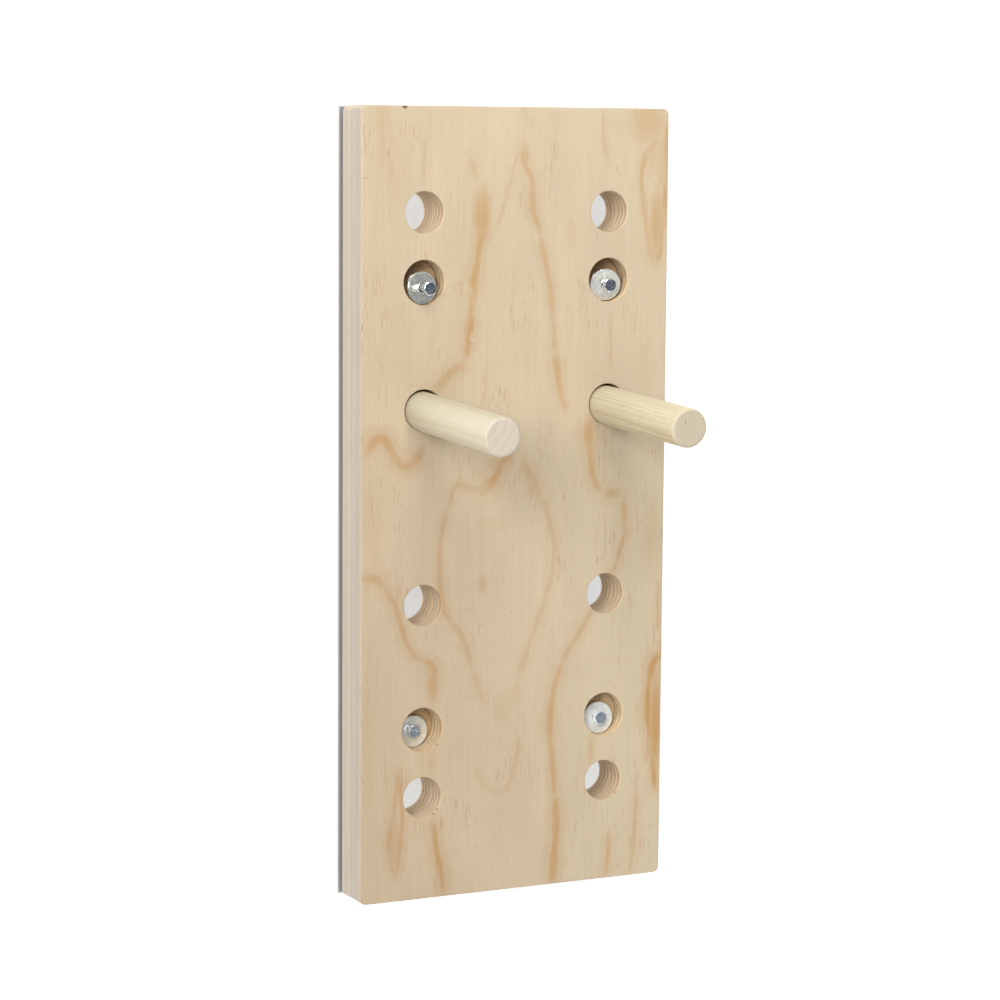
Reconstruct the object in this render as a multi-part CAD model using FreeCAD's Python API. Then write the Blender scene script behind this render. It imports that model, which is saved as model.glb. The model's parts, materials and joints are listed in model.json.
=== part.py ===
import FreeCAD, Part

import math
import os

# Wall-mounted peg board for climbing and grip training, with two loose round
# pegs and the four wall screws it hangs on.
#
# Frame: millimetres. Origin at the centre of the board's back face, which lies
# on the wall. +X to the right for a person facing the board, +Y into the
# wall, +Z up. The board's front face is at y = -board_t.

V = FreeCAD.Vector

# ---- board -------------------------------------------------------------------
board_w = 262.0          # width along X
board_h = 610.0          # height along Z
sheet_t = 18.0           # one sheet of pine plywood
sheets = 2               # glued face to face
board_t = sheet_t * sheets
face_veneer_t = 2.4      # the two outer veneers of a sheet
inner_ply_t = (sheet_t - 2 * face_veneer_t) / 5   # its five inner plies
corner_r = 5.0           # rounded corners in the front view
front_arris_r = 1.0      # eased outer edge of the front face
rear_arris_r = 0.8       # eased outer edge of the back face

# ---- peg holes: four rows of two, straight through -----------------------------
peg_hole_d = 32.0
peg_col_x = 79.0         # columns at -x and +x
peg_row_pitch = 150.0
peg_row_1_z = 80.0 - board_h / 2
peg_rows = [peg_row_1_z + peg_row_pitch * i for i in range(4)]
mouth_ease = 0.4         # chamfer at each front mouth

# ---- wall screw holes: counterbored, four, one near each corner -----------------
screw_col_x = 79.0
screw_hole_z = (133.0 - board_h / 2, 477.0 - board_h / 2)   # lower, upper
screw_hole_d = 14.0      # wide clearance hole, covered by a penny washer
recess_d = 34.0

# ---- pegs ------------------------------------------------------------------
peg_d = 30.0
peg_end_r = 2.6          # rounding of both ends
peg_row = 2              # third row from the bottom
peg_length = {"left": 172.0, "right": 166.0}
peg_gap = 0.05           # left between a drooping peg and the hole's lips
peg_rear_y = -0.95       # centre of the peg's inner end, just off the wall

# ---- M6 coach screws and penny washers -------------------------------------------
screw_d = 6.0            # over the thread
shank_d = 5.6            # plain shank under the head, thinner than the rolled thread
shank_len = 44.0
screw_length = 70.0      # under the head
head_af = 10.0
head_h = 4.0
head_flat_d = 9.3        # round flat left on top by the 30 degree chamfer
tip_len = 9.0            # gimlet point
tip_d = 0.8
screw_drop = (screw_hole_d - screw_d) / 2 - 0.05   # shank lies on the hole's underside
washer_d = 25.0
washer_hole_d = 6.6
washer_t = 1.5
washer_edge_r = 0.3
washer_play = 0.04       # left between a hanging washer's hole and the shank

# For each screw: side, row, recess depth, y of the head's outer face, turn of
# the hexagon, y of the washer's centre, and the washer's lean in degrees
# about Z (positive shows its face to the left) and about X (positive faces
# it downwards).
screws = {
    "upper_left": dict(side=-1, row=1, depth=15.0, head_y=-47.0, turn=12.0,
                       washer_y=-31.0, yaw=-5.0, nod=-2.0),
    "upper_right": dict(side=1, row=1, depth=15.0, head_y=-39.2, turn=20.0,
                        washer_y=-30.0, yaw=9.0, nod=8.0),
    "lower_left": dict(side=-1, row=0, depth=20.0, head_y=-22.1, turn=4.0,
                       washer_y=-17.15, yaw=-1.0, nod=1.0),
    "lower_right": dict(side=1, row=0, depth=12.0, head_y=-31.55, turn=26.0,
                        washer_y=-26.15, yaw=3.0, nod=-4.0),
}


def along_y(r, x, z, y0, y1):
    """A round bar of radius r along Y, from y0 to y1."""
    return Part.makeCylinder(r, y1 - y0, V(x, y0, z), V(0, 1, 0))


def plate(y0, y1):
    """The board's rounded outline between two depths."""
    w, h, r = board_w / 2, board_h / 2, corner_r
    k = r * (1 - math.sqrt(0.5))
    pts = [
        ((-w + r, -h), (w - r, -h), None),
        ((w - r, -h), (w, -h + r), (w - k, -h + k)),
        ((w, -h + r), (w, h - r), None),
        ((w, h - r), (w - r, h), (w - k, h - k)),
        ((w - r, h), (-w + r, h), None),
        ((-w + r, h), (-w, h - r), (-w + k, h - k)),
        ((-w, h - r), (-w, -h + r), None),
        ((-w, -h + r), (-w + r, -h), (-w + k, -h + k)),
    ]
    edges = []
    for a, b, m in pts:
        pa, pb = V(a[0], y0, a[1]), V(b[0], y0, b[1])
        if m is None:
            edges.append(Part.LineSegment(pa, pb).toShape())
        else:
            edges.append(Part.Arc(pa, V(m[0], y0, m[1]), pb).toShape())
    return Part.Face(Part.Wire(edges)).extrude(V(0, y1 - y0, 0))


def outline_edges(shape, y):
    """The outer edges of a plate that lie in the plane at depth y."""
    out = []
    for e in shape.Edges:
        b = e.BoundBox
        if abs(b.YMin - y) < 1e-6 and abs(b.YMax - y) < 1e-6:
            out.append(e)
    return out


def mouth_cone(d, x, z):
    """The cutter that eases a hole's front mouth."""
    y = -board_t
    return Part.makeCone(d / 2 + mouth_ease + 0.05, d / 2 - 0.05, mouth_ease + 0.1,
                         V(x, y - 0.05, z), V(0, 1, 0))


def ply(y0, y1):
    """One veneer of the board: the outline with all its holes cut through."""
    body = plate(y0, y1)
    if abs(y0 + board_t) < 1e-6:
        body = body.makeFillet(front_arris_r, outline_edges(body, y0))
    if abs(y1) < 1e-6:
        body = body.makeFillet(rear_arris_r, outline_edges(body, y1))
    cuts = []
    for x in (-peg_col_x, peg_col_x):
        for z in peg_rows:
            cuts.append(along_y(peg_hole_d / 2, x, z, y0 - 1, y1 + 1))
            if abs(y0 + board_t) < 1e-6:
                cuts.append(mouth_cone(peg_hole_d, x, z))
    for s in screws.values():
        x, z = s["side"] * screw_col_x, screw_hole_z[s["row"]]
        floor = -board_t + s["depth"]
        if floor > y0 + 1e-6:
            cuts.append(along_y(recess_d / 2, x, z, y0 - 1, min(floor, y1 + 1)))
        if floor < y1 - 1e-6:
            cuts.append(along_y(screw_hole_d / 2, x, z, y0 - 1, y1 + 1))
        if abs(y0 + board_t) < 1e-6:
            cuts.append(mouth_cone(recess_d, x, z))
    return body.cut(cuts)


def ply_stack():
    """Names and depths of the fourteen veneers, from the front to the wall."""
    names = ("face_veneer", "crossband_1", "long_ply_1", "centre_ply",
             "long_ply_2", "crossband_2", "back_veneer")
    out, y = [], -board_t
    for sheet in ("front_sheet", "rear_sheet"):
        for n in names:
            t = face_veneer_t if n.endswith("veneer") else inner_ply_t
            out.append((f"{sheet}_{n}", y, y + t))
            y += t
    last = out[-1]
    out[-1] = (last[0], last[1], 0.0)
    return out


def peg_slope():
    """Tangent of the droop of a peg that hangs on the hole's front and rear lips."""
    m = 0.05
    for _ in range(20):
        c = math.cos(math.atan(m))
        m = 2 * (peg_hole_d / 2 - peg_d / 2 / c - peg_gap) / board_t
    return m


def peg(side):
    """A dowel with rounded ends, drooping towards its outer end."""
    length = peg_length[side]
    x = -peg_col_x if side == "left" else peg_col_x
    m = peg_slope()
    t = math.atan(m)
    out = V(0, -math.cos(t), -math.sin(t))
    z_mid = peg_rows[peg_row]                       # axis height at mid-thickness
    z_rear = z_mid + m * (peg_rear_y + board_t / 2)
    body = Part.makeCylinder(peg_d / 2, length, V(x, peg_rear_y, z_rear), out)
    rims = [e for e in body.Edges
            if isinstance(e.Curve, Part.Circle) and abs(e.Curve.Radius - peg_d / 2) < 1e-6]
    return body.makeFillet(peg_end_r, rims)


def coach_screw(s):
    """A hexagon-head coach screw: chamfered head, plain shank, thread, gimlet point.

    The thread is a plain bar of its outer diameter.
    """
    x = s["side"] * screw_col_x
    z = screw_hole_z[s["row"]] - screw_drop
    y_face = s["head_y"]
    y_under = y_face + head_h
    ac = head_af / math.cos(math.pi / 6) / 2
    pts = []
    for i in range(6):
        a = math.radians(s["turn"] + 60 * i)
        pts.append(V(x + ac * math.cos(a), y_face, z + ac * math.sin(a)))
    pts.append(pts[0])
    head = Part.Face(Part.makePolygon(pts)).extrude(V(0, head_h, 0))
    rise = math.tan(math.radians(30))
    far = head_flat_d / 2 + head_h / rise
    dome = Part.makeCone(head_flat_d / 2, far, head_h, V(x, y_face, z), V(0, 1, 0))
    head = head.common(dome)
    y_tip = y_under + screw_length
    shank = along_y(shank_d / 2, x, z, y_under - 0.5, y_under + shank_len)
    thread = along_y(screw_d / 2, x, z, y_under + shank_len, y_tip - tip_len)
    point = Part.makeCone(screw_d / 2, tip_d / 2, tip_len, V(x, y_tip - tip_len, z), V(0, 1, 0))
    return head.fuse([shank, thread, point]).removeSplitter()


def washer_drop(s):
    """How far a leaning washer's centre hangs below the shank's axis."""
    t = math.acos(math.cos(math.radians(s["yaw"])) * math.cos(math.radians(s["nod"])))
    half = washer_hole_d / 2 * math.cos(t) - washer_t / 2 * math.sin(t)
    return half - screw_d / 2 - washer_play


def penny_washer(s):
    """A flat washer that hangs on the shank, leaning a little."""
    x = s["side"] * screw_col_x
    z = screw_hole_z[s["row"]] - screw_drop - washer_drop(s)
    body = Part.makeCylinder(washer_d / 2, washer_t, V(0, -washer_t / 2, 0), V(0, 1, 0))
    rims = [e for e in body.Edges if isinstance(e.Curve, Part.Circle)]
    body = body.makeFillet(washer_edge_r, rims)
    body = body.cut(along_y(washer_hole_d / 2, 0, 0, -washer_t, washer_t))
    body.rotate(V(0, 0, 0), V(1, 0, 0), s["nod"])
    body.rotate(V(0, 0, 0), V(0, 0, 1), -s["yaw"])
    body.translate(V(x, s["washer_y"], z))
    return body


def one_solid(shape, name):
    """The single solid in a shape, or an error that names the node."""
    if len(shape.Solids) != 1 or not shape.isValid():
        raise ValueError(f"{name}: {len(shape.Solids)} solids, valid {shape.isValid()}")
    return shape.Solids[0]


def build():
    nodes = {}
    for name, y0, y1 in ply_stack():
        nodes[name] = ply(y0, y1)
    nodes["left_peg"] = peg("left")
    nodes["right_peg"] = peg("right")
    for name, s in screws.items():
        nodes[f"{name}_coach_screw"] = coach_screw(s)
        nodes[f"{name}_penny_washer"] = penny_washer(s)
    return {n: one_solid(s, n) for n, s in nodes.items()}


os.makedirs("parts", exist_ok=True)
for node, solid in build().items():
    solid.exportStep(f"parts/{node}.step")
    b = solid.BoundBox
    print(f"{node:34s} {solid.Volume:12.1f} mm3  y {b.YMin:8.2f} {b.YMax:8.2f}  z {b.ZMin:8.2f} {b.ZMax:8.2f}")
print("peg slope", round(peg_slope(), 5), "degrees", round(math.degrees(math.atan(peg_slope())), 3))
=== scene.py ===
import json
import math

import bpy
import bmesh
import numpy as np
from mathutils import Matrix, Vector, geometry


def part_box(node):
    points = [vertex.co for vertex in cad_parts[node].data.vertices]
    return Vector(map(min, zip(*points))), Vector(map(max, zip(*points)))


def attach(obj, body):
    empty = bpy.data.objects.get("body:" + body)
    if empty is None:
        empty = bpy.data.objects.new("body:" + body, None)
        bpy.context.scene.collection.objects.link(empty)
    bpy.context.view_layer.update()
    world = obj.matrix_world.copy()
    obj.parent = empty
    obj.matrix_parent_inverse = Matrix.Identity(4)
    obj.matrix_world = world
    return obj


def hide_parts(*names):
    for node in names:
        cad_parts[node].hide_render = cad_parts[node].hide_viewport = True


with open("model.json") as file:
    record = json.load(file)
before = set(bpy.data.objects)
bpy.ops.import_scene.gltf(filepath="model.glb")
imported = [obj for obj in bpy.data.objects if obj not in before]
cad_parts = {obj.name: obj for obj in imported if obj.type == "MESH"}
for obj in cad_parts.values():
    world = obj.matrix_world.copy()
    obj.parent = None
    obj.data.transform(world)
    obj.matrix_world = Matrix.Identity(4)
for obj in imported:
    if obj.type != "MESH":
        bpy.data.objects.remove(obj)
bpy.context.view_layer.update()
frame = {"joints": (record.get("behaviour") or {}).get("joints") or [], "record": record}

# Wall peg board: fourteen pine veneers, two loose dowels, four coach screws and
# four penny washers. Lengths below are millimetres in the CAD frame; meshes are
# written in metres.
MM = 0.001
RNG = np.random.default_rng(20)

SHEETS = ("front_sheet", "rear_sheet")
PLIES = ("face_veneer", "crossband_1", "long_ply_1", "centre_ply",
         "long_ply_2", "crossband_2", "back_veneer")
NODES = [f"{s}_{p}" for s in SHEETS for p in PLIES]


def span(node):
    """A node's box at rest, in millimetres."""
    lo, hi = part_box(node)
    return np.array(lo) / MM, np.array(hi) / MM


front_lo, front_hi = span(NODES[0])
back_lo, back_hi = span(NODES[-1])
HALF_W, HALF_H = front_hi[0], front_hi[2]
FRONT_Y = front_lo[1]
BACK_Y = back_hi[1]
CORNER_R, FRONT_ARRIS, REAR_ARRIS = 5.0, 1.0, 0.8

mounts = {m["name"]: m for m in frame["record"]["mounts"]}
PEG_R = mounts["peg_hole_top_left"]["dims"]["r_mm"]
COL_X = abs(mounts["peg_hole_top_left"]["pos_m"][0]) / MM
peg_rows = sorted({round(m["pos_m"][2] / MM, 3) for n, m in mounts.items() if n.startswith("peg_hole")})
peg_rows = sorted(set(peg_rows + [-peg_rows[1]]))          # the third row holds the pegs
RECESS_R, CLEAR_R, SCREW_Z = 17.0, 7.0, 172.0
DEPTH = {"upper_left": 15.0, "upper_right": 15.0, "lower_left": 20.0, "lower_right": 12.0}
SIDE = {"left": -1, "right": 1}


# ---- small helpers for mesh code ---------------------------------------------------

def finish_mesh(name, verts, faces, body, nodes, material, sharp=35.0, attrs=None):
    """A piece from vertices in millimetres: outward normals, smooth but for sharp edges."""
    me = bpy.data.meshes.new(name)
    me.from_pydata([tuple(v) for v in np.asarray(verts, float) * MM], [], faces)
    bm = bmesh.new()
    bm.from_mesh(me)
    bmesh.ops.recalc_face_normals(bm, faces=bm.faces)
    if bm.calc_volume(signed=True) < 0:
        bmesh.ops.reverse_faces(bm, faces=bm.faces)
    limit = math.radians(sharp)
    for f in bm.faces:
        f.smooth = True
    for e in bm.edges:
        e.smooth = len(e.link_faces) == 2 and e.calc_face_angle(0.0) < limit
    loose = [v for v in bm.verts if not v.link_faces]
    if loose:
        bmesh.ops.delete(bm, geom=loose, context="VERTS")
    bm.to_mesh(me)
    bm.free()
    for key, values in (attrs or {}).items():
        a = me.attributes.new(key, "FLOAT", "POINT")
        a.data.foreach_set("value", np.asarray(values, np.float32))
    me.materials.append(material)
    ob = bpy.data.objects.new(name, me)
    bpy.context.scene.collection.objects.link(ob)
    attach(ob, body)
    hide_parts(*nodes)
    return ob


def value_noise(x, seed, cell):
    """Smooth one-dimensional noise in -1..1, with features about one cell long."""
    r = np.random.default_rng(seed)
    table = r.uniform(-1, 1, 512)
    t = np.asarray(x, float) / cell
    i = np.floor(t).astype(int)
    f = t - i
    f = f * f * (3 - 2 * f)
    return table[i % 512] * (1 - f) + table[(i + 1) % 512] * f


# ---- figure of the face veneers --------------------------------------------------------------

# Latewood lines on the show face: (half-width, strength, [(x, z), ...]), in board mm.
LINES = [
    (2.2, 0.55, [(-40.5, 266), (-38, 256), (-36, 249)]),
    (3.2, 1.0, [(-31, 214), (-33.5, 196), (-36, 182), (-38, 170), (-38.7, 156)]),
    (2.9, 0.85, [(-38.5, 166), (-39.5, 155), (-40.5, 138), (-41, 128)]),
    (2.9, 1.25, [(-40, 147), (-40.5, 138), (-41.5, 124), (-44, 113)]),
    (2.8, 0.9, [(-44, 113), (-48, 107), (-56, 104), (-63.5, 96), (-70, 90)]),
    (2.6, 0.8, [(4, 277), (4, 262), (8, 256), (13, 250), (12, 240), (13, 225), (19, 207)]),
    (1.8, 0.75, [(19, 207), (24, 185), (28, 165), (30, 140), (33, 115)]),
    (2.4, 0.95, [(33, 115), (35, 97), (38, 84), (41.5, 71), (44, 78)]),
    (1.6, 0.45, [(4, 277), (-3.5, 262), (-7, 247), (-11, 235), (-15, 222), (-20, 210)]),
    (2.4, 0.75, [(124, 283), (115, 275), (109, 267), (106, 250), (110, 227), (113, 207), (116.5, 190), (120, 184)]),
    (2.4, 0.9, [(120, 184), (124, 190), (126.5, 210), (129, 245), (128.5, 272), (130, 296)]),
    (1.8, 0.5, [(72, 304), (73, 284), (76.5, 265)]),
    (1.8, 0.6, [(106, 304), (107, 292), (108, 280)]),
    (2.0, 0.45, [(-115, 304), (-114, 285), (-114.5, 255)]),
    (3.0, 1.0, [(-127, 43), (-120, 54), (-113, 56), (-107, 47), (-100, 35), (-92, 31), (-84, 39), (-80, 46)]),
    (2.0, 0.6, [(-58.5, -2), (-56, 6), (-53.5, 15), (-48.5, 19), (-41, 13), (-28, 13), (-20, 19)]),
    (3.6, 0.95, [(-28, 12), (-20, 19), (-15, 27), (-9, 37), (-4, 42)]),
    (2.6, 0.7, [(4, 35), (9, 27), (16.5, 12.5), (20, 5)]),
    (2.0, 0.6, [(20, 5), (24, 0), (29, -12), (33, -27), (33.5, -45), (31.5, -60), (26.5, -75)]),
    (1.9, 0.5, [(26.5, -75), (19, -95), (14, -107), (9, -120), (4, -135)]),
    (2.4, 0.25, [(4, -135), (-1, -150), (-6, -162)]),
    (2.0, 0.7, [(-58.5, 0), (-64, -20), (-65.5, -40), (-65.5, -57), (-61.5, -80), (-56, -90)]),
    (2.1, 0.62, [(-56, -90), (-47, -97), (-42, -110), (-37, -127)]),
    (2.4, 0.45, [(-37, -127), (-31, -145), (-26, -155)]),
    (2.9, 0.95, [(62, 66), (63, 42), (65, 27), (69, 12), (76.5, 5)]),
    (2.6, 0.9, [(76.5, 5), (89, 4)]),
    (2.0, 0.7, [(94, 2), (95, -10), (96.5, -22), (94, -37), (89, -52), (82, -62)]),
    (2.0, 0.75, [(70, -84), (60, -100), (49, -115), (41.5, -127)]),
    (2.2, 0.95, [(41.5, -127), (35, -145), (31.5, -167), (31.5, -190), (34, -210), (36.5, -235)]),
    (2.6, 1.15, [(36.5, -235), (38, -260), (35.5, -282), (34, -306)]),
    (2.9, 1.0, [(-131, -53), (-126, -51), (-118.5, -51), (-111, -60)]),
    (2.1, 0.85, [(-111, -60), (-103.5, -72), (-98.5, -87), (-93.5, -102), (-87, -114), (-81, -117)]),
    (2.6, 0.9, [(-81, -117), (-73.5, -119), (-68.5, -127), (-68, -140), (-71, -152)]),
    (3.0, 0.45, [(-72, -188), (-72, -208)]),
    (2.8, 1.05, [(-70, -244), (-67, -265), (-63.5, -282), (-59.5, -306)]),
    (2.0, 0.7, [(-98.5, -202), (-102, -227), (-105, -242), (-107, -257), (-106, -275), (-102, -287)]),
    (2.0, 0.8, [(-102, -287), (-98.5, -270), (-96, -245), (-97, -220), (-98.5, -204)]),
    (2.8, 1.3, [(131, -125), (127, -129), (121.5, -137), (119, -155), (119.5, -180), (123, -200), (125, -220), (127, -238)]),
    (1.6, 0.8, [(127, -66), (127, -90), (128, -112)]),
    (1.8, 0.6, [(110, -235), (109, -257), (108, -277), (104, -304)]),
    (2.2, 0.8, [(85.5, -268), (84.5, -284), (82.5, -304)]),
    (1.4, 0.6, [(68, -186), (68.3, -212)]),
    (1.0, 0.5, [(81, 146), (81.3, 104)]),
    (1.0, 0.45, [(-80.5, 278), (-80, 246)]),
    (2.0, 0.3, [(-34, -206), (-27, -219), (-20, -225), (-10, -228)]),
    (1.6, 0.55, [(4, -184), (2.5, -200), (-2, -216), (-10, -228)]),
    (1.6, 0.35, [(-28, 105), (-27, 88), (-30, 76)]),
]

# Broad tan patches: (x, z, half-width, half-height, strength).
PATCHES = [
    (-31, 222, 8.5, 25, 0.95), (-27, 210, 5, 14, 0.55), (121, 214, 7.5, 34, 0.85), (126, 262, 8, 34, 0.5), (113, 294, 20, 20, 0.6), (117, 268, 9, 24, 0.35), (-71, -137, 5.5, 15, 0.85),
    (-28.5, -61, 4.0, 8, 0.7), (126, -182, 6.5, 50, 1.2), (-102, -255, 4.5, 28, 0.55), (-18, 30, 9, 11, 0.55),
    (-118, 50, 6, 6, 0.45), (84, 3, 11, 4.5, 0.6), (46, 207, 5, 14, 0.35), (8, 262, 6, 13, 0.35),
    (-50, 107, 7, 5, 0.35), (39, 90, 5, 12, 0.35), (62, 50, 4, 22, 0.35), (-10, -160, 9, 14, 0.22),
    (14, 12, 6, 9, 0.45), (35, -260, 5, 40, 0.25), (-64, -283, 6, 22, 0.25), (-113, 295, 9, 22, 0.25),
    (-105, 260, 16, 40, 0.18), (100, 296, 24, 14, 0.15), (-36, 146, 4, 26, 0.25), (120, -30, 9, 34, 0.25),
    (-20, -15, 16, 7, 0.18), (112, 100, 9, 40, 0.15), (-120, -20, 8, 40, 0.15), (-126, -180, 5, 60, 0.2),
]


def front_figure(x, z):
    """Squared distance to the nearest latewood line in half-widths, its strength, and the tan patches."""
    x, z = np.asarray(x, float), np.asarray(z, float)
    best, power, reach = np.full(len(x), 30.0), np.zeros(len(x)), np.full(len(x), 1e9)
    for width, strength, pts in LINES:
        # the lines wander a little, more along the grain than across
        p = np.array(pts, float)
        t = np.r_[0, np.cumsum(np.hypot(*(p[1:] - p[:-1]).T))]
        s = np.linspace(0, t[-1], max(int(t[-1] / 2.5), 2))
        seed = int(abs(p[0, 0] * 7 + p[0, 1] * 3)) % 97
        q = np.column_stack([np.interp(s, t, p[:, 0]), np.interp(s, t, p[:, 1])])
        for _ in range(3):
            q[1:-1] = (q[:-2] + 2 * q[1:-1] + q[2:]) / 4
        q[:, 0] += 0.5 * value_noise(s, seed, 11.0) + 0.25 * value_noise(s, seed + 5, 4.0)
        w = width * (1 + 0.28 * value_noise(s, seed + 9, 17.0))
        k = strength * (1 + 0.22 * value_noise(s, seed + 13, 13.0))
        taper = np.clip(np.minimum(s, t[-1] - s) / 7.0, 0, 1) * 0.55 + 0.45
        lo, hi = q.min(0) - 16, q.max(0) + 16
        near = np.flatnonzero((x > lo[0]) & (x < hi[0]) & (z > lo[1]) & (z < hi[1]))
        if not len(near):
            continue
        px, pz = x[near], z[near]
        d2 = np.full(len(near), 1e9)
        ww, kk = np.ones(len(near)), np.zeros(len(near))
        for i in range(len(q) - 1):
            a, d = q[i], q[i + 1] - q[i]
            u = np.clip(((px - a[0]) * d[0] + (pz - a[1]) * d[1]) / max(d @ d, 1e-9), 0, 1)
            e = (px - a[0] - u * d[0]) ** 2 + (pz - a[1] - u * d[1]) ** 2
            m = e < d2
            d2[m] = e[m]
            ww[m] = (w[i] + (w[i + 1] - w[i]) * u[m])
            kk[m] = (k[i] * taper[i] + (k[i + 1] * taper[i + 1] - k[i] * taper[i]) * u[m])
        u2 = d2 / ww ** 2
        better = u2 < best[near]
        best[near[better]] = u2[better]
        power[near[better]] = kk[better]
    tan = np.zeros(len(x))
    for cx, cz, rx, rz, s in PATCHES:
        tan = np.maximum(tan, s * np.clip(1.25 - np.hypot((x - cx) / rx, (z - cz) / rz), 0, 0.9) / 0.9)
    return {"line": np.minimum(best, 30.0), "power": power, "tan": tan}


def back_figure(x, z):
    """The plainer back veneer: one long cathedral, off centre."""
    x, z = np.asarray(x, float), np.asarray(z, float)

    def f(x, z):
        return (3.6 * np.sqrt(((x - 22) / 120) ** 2 + ((z + 70) / 640) ** 2)
                + 0.22 * np.sin(z / 96 + 0.6) + 0.12 * np.sin(x / 31 + z / 150) + 0.06 * np.sin(z / 33 + x / 18))

    v = f(x, z)
    slope = np.hypot(f(x + 0.5, z) - v, f(x, z + 0.5) - v) / 0.5
    off = (v + 0.5) % 1.0 - 0.5
    u2 = (off / np.maximum(slope, 0.004) / 2.6) ** 2
    return {"line": np.minimum(u2, 30.0), "power": 0.65 + 0.25 * np.sin(v * 2.1 + z / 60),
            "tan": 0.3 * np.clip(-off * 2.4, 0, 1)}


# ---- the board's fourteen veneers ------------------------------------------------------------

def outline(step):
    """Points round the board's outline, with outward normals and distance along it."""
    pts = []
    w, h, r = HALF_W, HALF_H, CORNER_R
    corners = [(w - r, h - r, 0), (-w + r, h - r, 90), (-w + r, -h + r, 180), (w - r, -h + r, 270)]
    for i, (cx, cz, a0) in enumerate(corners):
        for k in range(11):
            a = math.radians(a0 + 9 * k)
            pts.append((cx + r * math.cos(a), cz + r * math.sin(a), math.cos(a), math.sin(a)))
        nx, nz, na = corners[(i + 1) % 4]
        a = math.radians(na)
        end = (nx + r * math.cos(a), nz + r * math.sin(a))
        here = pts[-1]
        length = math.hypot(end[0] - here[0], end[1] - here[1])
        count = max(int(length / step), 1)
        for k in range(1, count):
            t = k / count
            pts.append((here[0] + (end[0] - here[0]) * t, here[1] + (end[1] - here[1]) * t, here[2], here[3]))
    p = np.array(pts)
    d = np.r_[0, np.cumsum(np.hypot(*(p[1:, :2] - p[:-1, :2]).T))]
    return p, d


def cap(loops, holes, inside):
    """Triangles over a flat face: loops are index lists into the points, holes are (x, z, r, n)."""
    pts, edges, index = [], [], []
    for loop, xz in loops:
        base = len(pts)
        pts += [Vector(p) for p in xz]
        index += list(loop)
        n = len(loop)
        edges += [(base + i, base + (i + 1) % n) for i in range(n)]
    for i, xz in inside:
        pts.append(Vector(xz))
        index.append(i)
    vs, _, fs, orig, _, _ = geometry.delaunay_2d_cdt(pts, edges, [], 0, 1e-6)
    v = np.array([tuple(p) for p in vs])
    tri = np.array(fs)
    c = v[tri].mean(1)
    keep = np.ones(len(tri), bool)
    for x, z, r, n in holes:
        limit = r * (math.cos(math.pi / n) + (1 + 2 * math.cos(2 * math.pi / n)) / 3) / 2
        keep &= np.hypot(c[:, 0] - x, c[:, 1] - z) > limit
    a = v[tri]
    area = abs((a[:, 1, 0] - a[:, 0, 0]) * (a[:, 2, 1] - a[:, 0, 1])
               - (a[:, 2, 0] - a[:, 0, 0]) * (a[:, 1, 1] - a[:, 0, 1]))
    keep &= area > 1e-9
    return [tuple(index[orig[k][0]] for k in t) for t in tri[keep]]


def hole_rows(x_side, z, kind, y0, y1):
    """(y, r) rows of one hole's wall through a veneer, from its front to its back."""
    first = abs(y0 - FRONT_Y) < 0.01
    if kind == "peg":
        return ([(y0, PEG_R + 0.4), (y0 + 0.4, PEG_R)] if first else [(y0, PEG_R)]) + [(y1, PEG_R)]
    floor = FRONT_Y + DEPTH[kind]
    if floor >= y1 - 1e-6:
        return ([(y0, RECESS_R + 0.4), (y0 + 0.4, RECESS_R)] if first else [(y0, RECESS_R)]) + [(y1, RECESS_R)]
    if floor <= y0 + 1e-6:
        return [(y0, CLEAR_R), (y1, CLEAR_R)]
    return [(y0, RECESS_R), (floor, RECESS_R), (floor, CLEAR_R), (y1, CLEAR_R)]


HOLES = [(s * COL_X, z, "peg") for s in (-1, 1) for z in peg_rows]
for key in DEPTH:
    up, side = key.split("_")
    HOLES.append((SIDE[side] * COL_X, SCREW_Z if up == "upper" else -SCREW_Z, key))


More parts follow.
